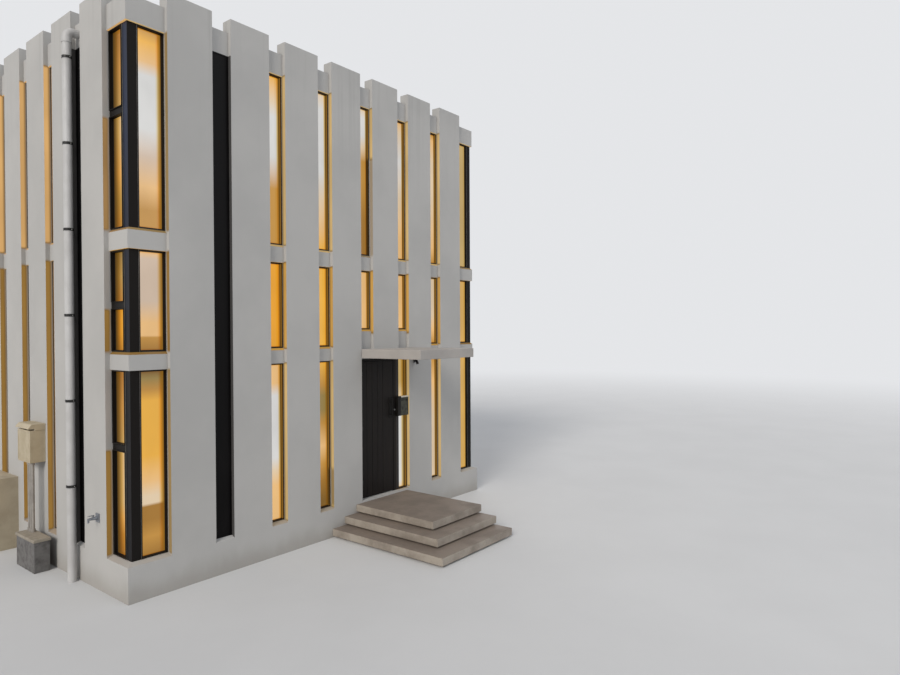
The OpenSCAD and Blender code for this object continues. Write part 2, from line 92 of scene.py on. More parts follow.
class Graph:
    def __init__(self, tree):
        self.tree = tree
        self.tree.nodes.clear()

    def add(self, kind, ins=None, **props):
        node = self.tree.nodes.new(kind)
        for key, value in props.items():
            setattr(node, key, value)
        for key, value in (ins or {}).items():
            if isinstance(value, bpy.types.NodeSocket):
                self.tree.links.new(value, node.inputs[key])
            else:
                node.inputs[key].default_value = value
        return node

    def math(self, kind, a, b=0.0):
        return self.add("ShaderNodeMath", {0: a, 1: b}, operation=kind).outputs[0]

    def product(self, first, *others):
        for other in others:
            first = self.math("MULTIPLY", first, other)
        return first

    def invert(self, value):
        return self.math("SUBTRACT", 1.0, value)

    def size(self, value):
        return self.math("ABSOLUTE", value)

    def above(self, value, edge):
        return self.math("GREATER_THAN", value, edge)

    def below(self, value, edge):
        return self.math("LESS_THAN", value, edge)

    def choose(self, mask, off, on):
        return self.math("ADD", self.product(mask, on), self.product(self.invert(mask), off))

    def mix(self, factor, a, b, blend="MIX"):
        a, b = (v if isinstance(v, bpy.types.NodeSocket) else (*v, 1) for v in (a, b))
        node = self.add("ShaderNodeMix", {0: factor, 6: a, 7: b}, data_type="RGBA", blend_type=blend)
        return node.outputs[2]

    def tint(self, a, b):
        return self.mix(1.0, a, b, "MULTIPLY")

    def grey(self, value):
        return self.add("ShaderNodeCombineXYZ", {0: value, 1: value, 2: value}).outputs[0]

    def span(self, value, low, high, toLow=0.0, toHigh=1.0):
        ins = {0: value, 1: low, 2: high, 3: toLow, 4: toHigh}
        return self.add("ShaderNodeMapRange", ins, interpolation_type="SMOOTHSTEP").outputs[0]

    def band(self, value, low, high, soft=0.002):
        rising = self.span(value, low - soft, low + soft)
        return self.product(rising, self.span(value, high - soft, high + soft, 1.0, 0.0))

    def split(self, vector):
        return self.add("ShaderNodeSeparateXYZ", {0: vector}).outputs[:3]

    def facing(self):
        return self.add("ShaderNodeTexCoord").outputs["Normal"]

    def noise(self, where, scale, detail, rough, stretch=None):
        if stretch:
            where = self.add("ShaderNodeVectorMath", {0: where, 1: stretch}, operation="MULTIPLY").outputs[0]
        ins = {"Vector": where, "Scale": scale, "Detail": detail, "Roughness": rough}
        return self.add("ShaderNodeTexNoise", ins).outputs["Fac"]

    def patches(self, where, noise, edges, low=0.0, high=1.0):
        # a mask from a noise, which begins at the first edge and is full at the second
        return self.span(self.noise(where, *noise), *edges, low, high)

    def seams(self, along, pitch, edges):
        part = self.math("FRACT", self.math("DIVIDE", along, pitch))
        return self.span(self.size(self.math("SUBTRACT", part, 0.5)), *edges)

    def bump(self, height, distance, strength):
        ins = {"Height": height, "Distance": distance, "Strength": strength}
        return self.add("ShaderNodeBump", ins).outputs[0]

    def surface(self, colour, mask, rough, height, bump):
        # the mask leads from the first roughness to the second
        return {"Base Color": colour, "Roughness": self.span(mask, 0, 1, *rough),
                "Normal": self.bump(height, *bump)}

    def use(self, group, values):
        return self.add("ShaderNodeGroup", values, node_tree=group).outputs


socketKinds = {float: "Float", int: "Int", tuple: "Vector"}


def openTree(name, kind, ins, outs):
    # each socket has its first value, from which its kind follows, or else the name of its kind
    tree = bpy.data.node_groups.new(name, kind)
    for way, sockets in (("INPUT", ins), ("OUTPUT", outs)):
        for label, value in sockets.items():
            named = isinstance(value, str)
            sort = "NodeSocket" + (value if named else socketKinds[type(value)])
            socket = tree.interface.new_socket(name=label, in_out=way, socket_type=sort)
            if not named:
                socket.default_value = value
    return tree


def makeGroup(name, build, look, ins, *outs):
    g = Graph(openTree(name, "ShaderNodeTree", ins, dict.fromkeys(outs, "Float")))
    start = g.add("NodeGroupInput").outputs
    g.add("NodeGroupOutput", build(g, start, look))
    return g.tree


def openMaterial(name):
    mat = bpy.data.materials.new(name)
    mat.use_nodes = True
    g = Graph(mat.node_tree)
    return mat, g, g.add("ShaderNodeTexCoord").outputs["Object"]


def makeMaterial(name, build, look, **fixed):
    mat, g, where = openMaterial(name)
    ins = {label.replace("_", " "): value for label, value in fixed.items()}
    shader = g.add("ShaderNodeBsdfPrincipled", {**ins, **build(g, where, look)})
    g.add("ShaderNodeOutputMaterial", {0: shader.outputs[0]})
    return mat


# soft studio light: a warm key on the left side, a weaker cool fill on the front

light = {
    "sky": (0.90, 0.93, 1.0),
    "skyStrength": 0.56,
    "backdrop": (0.78, 0.79, 0.81),
    "away": 30.0,  # metres from the middle of the house to a lamp
    "lamps": {
        "key": {"power": 2.15, "colour": (1.0, 0.955, 0.90), "from": (-0.92, -0.30, 0.55), "softness": 22},
        "front": {"power": 0.42, "colour": (0.86, 0.92, 1.0), "from": (0.30, -0.88, 0.42), "softness": 40},
        "back": {"power": 0.80, "colour": (0.95, 0.97, 1.0), "from": (0.70, 0.60, 0.50), "softness": 40},
    },
}


def makeLight(s):
    world = bpy.data.worlds.new("studio")
    scene.world = world
    world.use_nodes = True
    g = Graph(world.node_tree)
    ray = g.add("ShaderNodeLightPath").outputs
    fill = g.add("ShaderNodeBackground", {"Color": (*s["sky"], 1), "Strength": s["skyStrength"]})
    seen = g.add("ShaderNodeBackground", {"Color": (*s["backdrop"], 1)})
    direct = g.math("MAXIMUM", ray["Is Camera Ray"], ray["Is Transmission Ray"])
    shown = g.math("MAXIMUM", direct, ray["Is Glossy Ray"])
    mix = g.add("ShaderNodeMixShader", {0: shown, 1: fill.outputs[0], 2: seen.outputs[0]})
    g.add("ShaderNodeOutputWorld", {0: mix.outputs[0]})
    for name, look in s["lamps"].items():
        lamp = bpy.data.lights.new(name + "Light", "SUN")
        lamp.energy, lamp.color = look["power"], look["colour"]
        lamp.angle = math.radians(look["softness"])
        ob = addObject(name + "Light", lamp)
        ob.rotation_euler = (-Vector(look["from"])).to_track_quat("-Z", "Y").to_euler()
        ob.location = Vector(look["from"]) * s["away"]
    scene.view_settings.view_transform = "Standard"


makeLight(light)

# effects that several finishes share

grainLook = {
    "fine": (90.0, 4.0, 0.6),
    "coarse": (22.0, 2.0, 0.5),
    "fineShare": 0.65,
    "clouds": ((0.55, 4.0, 0.6), (0.35, 0.68)),
}


def buildGrain(g, i, s):
    fine = g.product(g.noise(i["Place"], *s["fine"]), s["fineShare"])
    coarse = g.product(g.noise(i["Place"], *s["coarse"]), 1.0 - s["fineShare"])
    return {"Height": g.product(g.math("ADD", fine, coarse), i["Depth"]),
            "Cloud": g.patches(i["Place"], *s["clouds"])}


grainGroup = makeGroup("sprayedGrain", buildGrain, grainLook,
                       {"Place": "Vector", "Depth": 1.0}, "Height", "Cloud")

rainLook = {"streaks": ((1.0, 5.0, 0.62, (9.0, 9.0, 0.22)), (0.50, 0.72))}


def buildRain(g, i, s):
    streaks = g.patches(i["Place"], *s["streaks"])
    tall = g.span(g.split(i["Place"])[2], i["Low"], i["High"])
    return {"Mask": g.product(streaks, tall, i["Amount"])}


rainGroup = makeGroup("rainMarks", buildRain, rainLook,
                      {"Place": "Vector", "Low": 4.0, "High": 7.6, "Amount": 0.5}, "Mask")

splashLook = {"wave": (1.0, 4.0, 0.6, (3.0, 3.0, 1.5))}


def buildSplash(g, i, s):
    wave = g.noise(i["Place"], *s["wave"])
    offset = g.product(g.math("SUBTRACT", wave, 0.5), i["Wave"])
    edge = g.math("ADD", g.split(i["Place"])[2], offset)
    return {"Mask": g.product(g.span(edge, i["Reach"], 0.0), i["Amount"])}


splashGroup = makeGroup("groundSplash", buildSplash, splashLook,
                        {"Place": "Vector", "Reach": 0.3, "Wave": 0.3, "Amount": 0.5}, "Mask")

# places on the front where the painted window light is weaker

dimLook = {
    "soft": 0.05,  # how softly a place begins and ends, upwards
    "spots": (  # from and to across, from and to upwards, level of the light
        ((0.29, 1.215), (0.0, 2.90), 0.0),  # the door
        ((0.29, 1.53), (2.86, 3.28), 0.0),  # the wall at the canopy
        ((0.29, 0.62), (4.55, 6.25), 0.22),  # the dim part of the upper window over the door
        ((-0.62, -0.29), (0.50, 1.10), 0.45),  # the foot of the window left of the door
    ),
}


def buildDim(g, i, s):
    x, y, z = g.split(i["Place"])
    atFront = g.below(y, 0.0)
    level = 1.0
    for across, tall, low in s["spots"]:
        spot = g.product(g.band(x, *across), g.band(z, *tall, s["soft"]), atFront)
        level = g.product(g.invert(g.product(spot, 1.0 - low)), level)
    return {"Level": level}


dimGroup = makeGroup("dimSpots", buildDim, dimLook, {"Place": "Vector"}, "Level")

# painted window light: a glow painted on the sides, sills and heads of the openings, in metres

spillLook = {
    "half": 3.6,  # from the middle of the house to the pier faces
    "depth": 0.092,  # how far in the light reaches
    "bright": 0.038,  # it is full up to here and fades towards the frame
    "slack": 0.002,  # a face may lie this far outside and still count
    "squarely": 0.8,  # from this part of its normal on, a face looks sideways
    "tilted": 0.45,  # and from this one on up or down
    "offCorner": 0.1,  # faces nearer to the pier faces of the next side don't count
    "rows": ((0.48, 2.83), (3.055, 4.33), (4.59, 7.10)),  # lit heights on the front and back
    "tallRows": ((0.48, 4.33), (4.59, 7.10)),  # on the left and right
    "lowSashes": ((0.48, 1.81), (3.055, 3.59), (4.59, 6.0)),  # and in the corner windows there
    "ends": 0.03,  # how softly the light stops at a window's ends
    "corner": 3.0,  # the corner windows lie farther out than this
    "cornerLevel": 0.45,
    "sideLow": 0.50,  # level beside the tall lower windows on the sides
    "sideFrom": (4.3, 4.6),
    "sill": (0.16, 0.85),  # level on a low and on a high sill
    "sillHeights": (0.6, 3.0),
    "middle": (3.0, 4.4),  # the heights of the middle row, whose light is deeper
    "head": 1.0,
    "sills": (0.30, 7.2),
    "slit": (-2.45, -2.10),
    "slitDepth": 0.062,
    "slitHeights": (0.4, 7.1),
    "uneven": ((1.3, 2.0, 0.5, (1.0, 1.0, 0.8)), (0.3, 0.7), 0.80, 1.0),
}


def buildSpill(g, i, s):
    # in each pair of values the first is for the X axis and the second for the Y axis
    *place, z = g.split(i["Place"])
    *turn, up = g.split(i["Facing"])
    deep = [g.math("SUBTRACT", s["half"], g.size(v)) for v in place]
    near = [g.band(v, -s["slack"], s["depth"]) for v in deep]
    far = [g.above(g.size(v), s["corner"]) for v in place]
    level = [g.span(v, 0.0, 1.0, 1.0, s["cornerLevel"]) for v in far]
    slit = [g.band(v, *s["slit"]) for v in place]
    looks = [g.above(g.size(v), s["squarely"]) for v in turn]
    rows = {}
    for key in ("rows", "tallRows", "lowSashes"):
        rows[key] = 0.0
        for low, high in s[key]:
            rows[key] = g.math("ADD", rows[key], g.band(z, low, high, s["ends"]))
    tall = g.product(rows["tallRows"], g.span(z, *s["sideFrom"], s["sideLow"], 1.0))
    lit = [rows["rows"], g.choose(far[1], tall, rows["lowSashes"])]
    clear = [g.product(g.above(deep[k], s["offCorner"]), lit[k], g.invert(slit[k])) for k in (0, 1)]
    jambs = [g.product(looks[k], near[1 - k], clear[k], level[k]) for k in (0, 1)]
    inner = g.math("MINIMUM", *deep)
    upright = g.product(g.math("ADD", *jambs), g.span(inner, s["bright"], s["depth"], 1.0, i["Inner"]))
    atSide = g.below(*deep)
    rise = g.span(z, *s["sillHeights"], *s["sill"])
    sill = g.product(g.above(up, s["tilted"]), rise, g.choose(atSide, *level))
    head = g.product(g.below(up, -s["tilted"]), s["head"])
    within = g.product(g.band(inner, -s["slack"], s["depth"]), g.band(z, *s["sills"]))
    flats = g.product(g.math("ADD", sill, head), within, g.invert(g.choose(atSide, *slit)))
    dim = g.use(dimGroup, {"Place": i["Place"]})["Level"]
    uneven = g.patches(i["Place"], *s["uneven"])
    lowSide = g.product(atSide, g.below(z, s["middle"][1]))
    # the reveals beside the dark panels, which get painted shade
    slitShade = [g.product(looks[k], slit[k], g.band(deep[1 - k], -s["slack"], s["slitDepth"])) for k in (0, 1)]
    return {
        "Mask": g.product(g.math("ADD", upright, flats), dim, uneven),
        "Slit": g.product(g.math("ADD", *slitShade), g.band(z, *s["slitHeights"])),
        "Deep": g.math("MAXIMUM", g.band(z, *s["middle"]), lowSide),
        "Side": atSide,
    }


spillGroup = makeGroup("paintedWindowSpill", buildSpill, spillLook,
                       {"Place": "Vector", "Facing": "Vector", "Inner": 0.10},
                       "Mask", "Slit", "Deep", "Side")

# finishes

wallLook = {
    "paint": (0.435, 0.425, 0.405),
    "cloud": (0.395, 0.387, 0.370),
    "rain": (0.29, 0.28, 0.265),
    "rainInputs": {"Low": 5.2, "High": 7.9, "Amount": 0.35},
    "splash": (0.25, 0.225, 0.19),
    "splashInputs": {"Reach": 0.34, "Wave": 0.3, "Amount": 0.45},
    "shade": (0.022, 0.020, 0.020),  # painted shade on the reveals beside the dark panels
    "shadeAmount": 0.9,
    "warmed": (0.050, 0.028, 0.009),  # the paint darkened and warmed under the painted window light
    "warmth": 3.0,
    "spill": (0.57, 0.395, 0.165),  # the colour of the painted window light on the front, in deep places and on the sides
    "deep": (0.52, 0.29, 0.065),
    "sideSpill": (0.66, 0.385, 0.145),
    "bump": (0.006, 0.45),
}


def buildWall(g, where, s):
    grain = g.use(grainGroup, {"Place": where, "Depth": 1.0})
    rain = g.use(rainGroup, {"Place": where, **s["rainInputs"]})
    splash = g.use(splashGroup, {"Place": where, **s["splashInputs"]})
    spill = g.use(spillGroup, {"Place": where, "Facing": g.facing()})
    colour = g.mix(grain["Cloud"], s["paint"], s["cloud"])
    colour = g.mix(rain["Mask"], colour, s["rain"])
    colour = g.mix(splash["Mask"], colour, s["splash"])
    # painted shade, near black, on the reveals beside the dark panels
    colour = g.mix(g.product(spill["Slit"], s["shadeAmount"]), colour, s["shade"])
    tone = g.mix(spill["Side"], s["spill"], s["sideSpill"])
    tone = g.mix(spill["Deep"], tone, s["deep"])
    # painted window light: the paint is warmed and given a glow where the mask lies
    warm = g.math("MINIMUM", g.product(spill["Mask"], s["warmth"]), 1.0)
    return {"Base Color": g.mix(warm, colour, s["warmed"]),
            "Emission Color": g.mix(spill["Mask"], black, tone),
            "Normal": g.bump(grain["Height"], *s["bump"])}


wallPaint = makeMaterial("paintedConcrete", buildWall, wallLook, Roughness=0.82, Emission_Strength=1.0,
                         Specular_IOR_Level=0.25)

stepLook = {
    # the sides are lighter than the tops: painted lamp light on the step fronts
    "side": (0.335, 0.295, 0.245),
    "top": (0.200, 0.162, 0.130),
    "worn": (0.148, 0.120, 0.098),
    "speck": (0.095, 0.077, 0.063),
    "upward": (0.75, 0.95),
    "clouds": ((2.2, 5.0, 0.6), (0.36, 0.68)),
    "wornAmount": 0.7,
    "specks": ((140.0, 2.0, 0.5), (0.62, 0.70)),
    "speckAmount": 0.6,
    "poreScale": 60.0,
    "poreEdges": (0.02, 0.16),
    "grain": (45.0, 4.0, 0.6),
    "rough": (0.66, 0.82),
    "bump": (0.003, 0.5),
}


def buildStep(g, where, s):
    clouds = g.patches(where, *s["clouds"])
    specks = g.patches(where, *s["specks"])
    pores = g.add("ShaderNodeTexVoronoi", {"Vector": where, "Scale": s["poreScale"]}).outputs["Distance"]
    # painted lamp light: sides lighter than tops
    colour = g.mix(g.span(g.split(g.facing())[2], *s["upward"]), s["side"], s["top"])
    colour = g.mix(g.product(clouds, s["wornAmount"]), colour, s["worn"])
    colour = g.mix(g.product(specks, s["speckAmount"]), colour, s["speck"])
    height = g.math("ADD", g.span(pores, *s["poreEdges"]), g.noise(where, *s["grain"]))
    return g.surface(colour, clouds, s["rough"], height, s["bump"])


stepStone = makeMaterial("castSteps", buildStep, stepLook)

frameLook = {
    "bronze": (0.030, 0.016, 0.006),
    "dust": (0.048, 0.030, 0.016),
    "dusty": ((3.0, 5.0, 0.6), (0.52, 0.80), 0.0, 0.6),
    # near black: partly the frames' own dark finish, partly painted shade where the painted window light is
    # dim
    "black": (0.008, 0.0065, 0.0055),
    "lit": (0.205, 0.098, 0.012),
    "back": 0.165,  # behind the pier faces, where a frame's inner sides begin
    "brushed": ((6.0, 3.0, 0.6, (60.0, 60.0, 3.0)), (0.3, 0.7), 0.42, 0.56),
}


def buildFrame(g, where, s):
    # the sides of a strip's frame that face its pane carry a painted glow, and those at corners and the door
    # don't; where this painted light is dim or absent the frame is near black, partly its own dark finish
    # and partly painted shade
    place, turn = g.split(where)[:2], g.split(g.facing())[:2]
    behind = [g.above(g.math("SUBTRACT", spillLook["half"], g.size(v)), s["back"]) for v in place]
    inStrip = [g.below(g.size(v), spillLook["corner"]) for v in place]
    looks = [g.above(g.size(v), spillLook["squarely"]) for v in turn]
    inner = g.math("ADD", *(g.product(looks[k], behind[k], g.invert(behind[1 - k])) for k in (0, 1)))
    strip = g.math("ADD", *(g.product(behind[k], inStrip[k]) for k in (0, 1)))
    level = g.product(g.use(dimGroup, {"Place": where})["Level"], g.math("MINIMUM", strip, 1.0))
    metal = g.mix(g.patches(where, *s["dusty"]), s["bronze"], s["dust"])
    return {"Base Color": g.mix(level, s["black"], metal),
            "Emission Color": g.mix(g.product(inner, level), black, s["lit"]),
            "Roughness": g.patches(where, *s["brushed"])}


frameMetal = makeMaterial("bronzeFrame", buildFrame, frameLook, Specular_IOR_Level=0.15,
                          Emission_Strength=1.0)

# the faces of a post on the left and right carry a painted reflection of the sky, a cool sheen, more of it
# higher up

postLook = {
    "black": (0.008, 0.0065, 0.0055),
    "low": (0.010, 0.010, 0.012),
    "cool": (0.022, 0.028, 0.052),
    "heights": (2.4, 6.0),
    "turned": 0.5,  # from this part of its normal on, a face looks left or right
    "streaks": ((1.0, 3.0, 0.5, (4.0, 4.0, 0.4)), (0.3, 0.7), 0.6, 1.0),
    "rough": (0.3, 0.7, 0.62, 0.42),  # two parts of the normal, and the roughness at each
}


def buildPost(g, where, s):
    turned = g.size(g.split(g.facing())[0])
    streaks = g.patches(where, *s["streaks"])
    # painted reflection of the sky, cooler higher up
    skyReflection = g.mix(g.span(g.split(where)[2], *s["heights"]), s["low"], s["cool"])
    return {"Base Color": g.mix(g.product(g.above(turned, s["turned"]), streaks), s["black"], skyReflection),
            "Roughness": g.span(turned, *s["rough"])}


postMetal = makeMaterial("cornerPost", buildPost, postLook, Specular_IOR_Level=0.12)

slitLook = {
    "panel": (0.0035, 0.003, 0.003),
    "bloom": (0.007, 0.006, 0.006),
    "clouds": ((2.0, 5.0, 0.6, (2.0, 2.0, 0.5)), (0.45, 0.75)),
    "fine": (5.0, 2.0, 0.5, (80.0, 80.0, 4.0)),
    "rough": (0.46, 0.58),
    "bump": (0.0006, 0.3),
}


def buildSlit(g, where, s):
    bloom = g.patches(where, *s["clouds"])
    return g.surface(g.mix(bloom, s["panel"], s["bloom"]), bloom, s["rough"], g.noise(where, *s["fine"]),
                     s["bump"])


slitPanel = makeMaterial("darkPanel", buildSlit, slitLook, Specular_IOR_Level=0.10)

doorLook = {
    "dark": (0.006, 0.0045, 0.004),
    "grain": (0.017, 0.012, 0.009),
    "warp": ((2.0, 6.0, 0.65, (14.0, 14.0, 0.7)), (0.3, 0.75)),
    "lines": ((3.0, 4.0, 0.6, (95.0, 95.0, 1.2)), (0.35, 0.7)),
    "rough": (0.42, 0.56),
    "bump": (0.0008, 0.35),
}


def buildDoor(g, where, s):
    lines = g.patches(where, *s["lines"])
    veins = g.product(lines, g.patches(where, *s["warp"]))
    return g.surface(g.mix(veins, s["dark"], s["grain"]), veins, s["rough"], lines, s["bump"])


doorWood = makeMaterial("darkDoor", buildDoor, doorLook, Specular_IOR_Level=0.15)

letterLook = {
    "paint": (0.060, 0.060, 0.044),
    "worn": (0.028, 0.028, 0.022),
    "lid": (0.60, 0.55, 0.46),
    "lidFrom": 2.107,  # height
    # painted shade on the part beside the door
    "shade": (0.008, 0.007, 0.006),
    "shadeTo": 1.290,  # from the middle of the front
    "clouds": ((18.0, 5.0, 0.6), (0.35, 0.7)),
    "rough": (0.42, 0.56),
}


def buildLetter(g, where, s):
    # its part beside the door is near black, painted shade, the rest a dark grey with a pale lid
    x, _, z = g.split(where)
    clouds = g.patches(where, *s["clouds"])
    tone = g.mix(clouds, s["paint"], s["worn"])
    tone = g.mix(g.above(z, s["lidFrom"]), tone, s["lid"])
    return {"Base Color": g.mix(g.above(x, s["shadeTo"]), s["shade"], tone),
            "Roughness": g.span(clouds, 0, 1, *s["rough"])}


letterMetal = makeMaterial("letterBoxPaint", buildLetter, letterLook, Specular_IOR_Level=0.2)

# clouded plain finishes, one of them with another colour over the height where its lid begins

plainLooks = {
    "satinSteel": {"tones": ((0.58, 0.57, 0.55), (0.46, 0.45, 0.43)), "rough": 0.28, "metal": 0.95},
    "pipePaint": {"tones": ((0.47, 0.465, 0.455), (0.40, 0.39, 0.38)), "rough": 0.46, "scale": 3.0},
    "conduitPaint": {"tones": ((0.30, 0.28, 0.25), (0.22, 0.20, 0.18)), "rough": 0.5, "scale": 6.0},
    "tapMetal": {"tones": ((0.27, 0.29, 0.32), (0.17, 0.18, 0.20)), "rough": 0.35, "metal": 0.6,
                 "scale": 20.0},
    # the warm beige of the meter box is partly painted lamp light
    "meterBoxWarmLitPaint": {"tones": ((0.44, 0.375, 0.26), (0.36, 0.30, 0.20)), "rough": 0.50, "scale": 4.0},
    "canopyPaint": {"tones": ((0.36, 0.335, 0.31), (0.31, 0.29, 0.27)), "rough": 0.75, "scale": 1.5},
    # the warm beige of the outdoor unit is partly painted window light
    "outdoorUnitWarmLitPaint": {"tones": ((0.40, 0.345, 0.25), (0.33, 0.28, 0.20)), "rough": 0.50, "scale": 4.0},
    # the dark body of the service unit is partly painted shade, and its paler lid is partly painted light on
    # its top
    "serviceUnitPaint": {"tones": ((0.135, 0.13, 0.125), (0.080, 0.075, 0.072)), "rough": 0.6, "scale": 12.0,
                         "lid": (0.30, 0.265, 0.21), "lidFrom": 0.42},
    "darkSteel": {"tones": ((0.014, 0.013, 0.013), (0.026, 0.025, 0.024)), "rough": 0.42, "metal": 0.2,
                  "shine": 0.35},
    "gripMetal": {"tones": ((0.006, 0.0055, 0.005), (0.012, 0.011, 0.010)), "rough": 0.46, "metal": 0.2,
                  "shine": 0.15},
    "sealRubber": {"tones": ((0.006, 0.006, 0.006), (0.011, 0.011, 0.011)), "rough": 0.7, "shine": 0.2},
    "jointSeal": {"tones": ((0.12, 0.112, 0.10), (0.085, 0.08, 0.072)), "rough": 0.7},
}
plainShared = {
    "metal": 0.0,
    "shine": 0.5,
    "scale": 8.0,
    "detail": (5.0, 0.6),
    "edges": (0.35, 0.7),
    "fine": (300.0, 2.0, 0.5),
    "lidShade": 0.8,
    "roughSpread": 0.14,
    "bump": (0.0004, 0.25),
}


def buildPlain(g, where, s):
    clouds = g.patches(where, (s["scale"], *s["detail"]), s["edges"])
    tone = g.mix(clouds, *s["tones"])
    if "lid" in s:
        lid = g.mix(clouds, s["lid"], [c * s["lidShade"] for c in s["lid"]])
        tone = g.mix(g.above(g.split(where)[2], s["lidFrom"]), tone, lid)
    rough = (s["rough"], s["rough"] + s["roughSpread"])
    return {**g.surface(tone, clouds, rough, g.noise(where, *s["fine"]), s["bump"]),
            "Metallic": s["metal"], "Specular IOR Level": s["shine"]}


plain = {name: makeMaterial(name, buildPlain, {**plainShared, **look}) for name, look in plainLooks.items()}

roofLook = {
    "sheet": (0.30, 0.31, 0.31),
    "dirty": (0.22, 0.22, 0.21),
    "ponds": ((0.8, 5.0, 0.62), (0.42, 0.68)),
    "seam": (0.12, 0.12, 0.12),
    "seamAmount": 0.5,
    "seamEdges": (0.485, 0.497),
    "lap": 1.0,  # metres from seam to seam
    "grain": (70.0, 3.0, 0.6),
    "grainAmount": 0.3,
    "bump": (0.004, 0.5),
}


def buildRoof(g, where, s):
    seam = g.seams(g.split(where)[0], s["lap"], s["seamEdges"])
    colour = g.mix(g.patches(where, *s["ponds"]), s["sheet"], s["dirty"])
    height = g.math("ADD", seam, g.product(g.noise(where, *s["grain"]), s["grainAmount"]))
    return {"Base Color": g.mix(g.product(seam, s["seamAmount"]), colour, s["seam"]),
            "Normal": g.bump(height, *s["bump"])}


roofSheet = makeMaterial("roofSheet", buildRoof, roofLook, Roughness=0.75)

boardLook = {
    "oak": (0.42, 0.27, 0.14),
    "dark": (0.27, 0.16, 0.08),
    "gap": (0.05, 0.03, 0.02),
    "gapEdges": (0.47, 0.49),
    "ceiling": (0.6, 0.59, 0.57),
    "width": 0.12,  # of a board
    "grain": (2.0, 5.0, 0.6, (30.0, 1.5, 30.0)),
    "upward": (0.4, 0.6),
    "bump": (0.002, 0.4),
}


def buildFloor(g, where, s):
    # boards on top of a floor, and a plain ceiling under it
    x = g.split(where)[0]
    board = g.math("FLOOR", g.math("DIVIDE", x, s["width"]))
    tone = g.add("ShaderNodeTexWhiteNoise", {"W": board}, noise_dimensions="1D").outputs["Value"]
    gap = g.seams(x, s["width"], s["gapEdges"])
    grain = g.noise(where, *s["grain"])
    wood = g.mix(g.math("ADD", g.product(tone, 0.5), g.product(grain, 0.5)), s["oak"], s["dark"])
    wood = g.mix(gap, wood, s["gap"])
    upward = g.span(g.split(g.facing())[2], *s["upward"])
    return {"Base Color": g.mix(upward, s["ceiling"], wood), "Normal": g.bump(g.invert(gap), *s["bump"])}


floorBoards = makeMaterial("floorBoards", buildFloor, boardLook, Roughness=0.5)

# the lit panes glow with painted light of the rooms behind: each carries its own tones as a colour
# attribute, and its measures as values

paneMeasures = ("paneWide", "paneTall", "paneLeft", "paneRight", "paneEdgeShade")
glowLook = {
    "gold": (0.92, 0.68, 0.25),  # painted shade: tints a pane darker and warmer towards its sides and ends
    "edge": (0.225, 0.108, 0.012),  # painted shade at its very sides
    "goldFrom": (0.40, 1.0),  # parts of a pane's own reach, from its side
    "edgeFrom": (0.0, 0.70),
    "endReach": 0.030,
    "endAmount": 0.8,
    "drift": ((1.6, 3.0, 0.5, (1.0, 1.0, 0.6)), (0.3, 0.7), 0.86, 1.0),
}


def buildGlow(g, where, s):
    u, v, _ = g.split(g.add("ShaderNodeUVMap", uv_map="paneMap").outputs[0])
    tone, *measures = (g.add("ShaderNodeAttribute", attribute_name=name, attribute_type="GEOMETRY").outputs
                       for name in ("paneTone", *paneMeasures))
    wide, tall, left, right, edgeLevel = (measure["Fac"] for measure in measures)
    fromLeft = g.math("DIVIDE", g.product(u, wide), left)
    fromRight = g.math("DIVIDE", g.product(g.invert(u), wide), right)
    side = g.math("MINIMUM", fromLeft, fromRight)
    end = g.product(g.math("MINIMUM", v, g.invert(v)), tall)
    colour = g.tint(tone["Color"], g.grey(g.patches(where, *s["drift"])))
    gold = g.tint(colour, s["gold"])
    colour = g.mix(g.span(side, *s["goldFrom"], 1.0, 0.0), colour, gold)
    colour = g.mix(g.span(end, 0.0, s["endReach"], s["endAmount"], 0.0), colour, gold)
    edge = g.tint(s["edge"], g.grey(edgeLevel))
    return {"Emission Color": g.mix(g.span(side, *s["edgeFrom"], 1.0, 0.0), colour, edge)}


litPane = makeMaterial("litPane", buildGlow, glowLook, Base_Color=(0.012, 0.010, 0.008, 1), Roughness=0.12,
                       Emission_Strength=1.0, Specular_IOR_Level=0.35)

floorLook = {
    "pale": (0.585, 0.585, 0.58),
    "shade": 0.97,
    "clouds": ((0.6, 4.0, 0.6), (0.3, 0.7)),
    "half": 90.0,
    "level": -0.001,
    "fade": (12.0, 45.0),  # metres out, over which it turns into the backdrop
}


def makeFloor(s):
    mat, g, where = openMaterial("studioFloor")
    reach = g.add("ShaderNodeVectorMath", {0: where}, operation="LENGTH").outputs["Value"]
    tone = g.mix(g.patches(where, *s["clouds"]), s["pale"], [c * s["shade"] for c in s["pale"]])
    matt = g.add("ShaderNodeBsdfDiffuse", {"Color": tone}).outputs[0]
    haze = g.add("ShaderNodeEmission", {"Color": (*light["backdrop"], 1), "Strength": 1.0}).outputs[0]
    mix = g.add("ShaderNodeMixShader", {0: g.span(reach, *s["fade"]), 1: matt, 2: haze})
    g.add("ShaderNodeOutputMaterial", {0: mix.outputs[0]})
    half, low = s["half"], s["level"]
    mesh = bpy.data.meshes.new("studioFloor")
    corners = [(-half, -half, low), (half, -half, low), (half, half, low), (-half, half, low)]
    mesh.from_pydata(corners, [], [(0, 1, 2, 3)])
    mesh.materials.append(mat)
    ob = addObject("studioFloor", mesh)


makeFloor(floorLook)
print("stage: camera, light, floor and finishes made")

# helpers for meshes

joinWithin = {"cad": 1e-5, "made": 1e-6}  # metres between corners that become one


def joined(mesh, within):
    bm = bmesh.new()
    bm.from_mesh(mesh)
    bmesh.ops.remove_doubles(bm, verts=bm.verts, dist=within)
    return bm


def addPiece(name, mesh, body, material=None, hides=()):
    if material:
        mesh.materials.append(material)
    ob = addObject(name, mesh)
    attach(ob, body)
    if hides:
        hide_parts(*hides)
    return ob


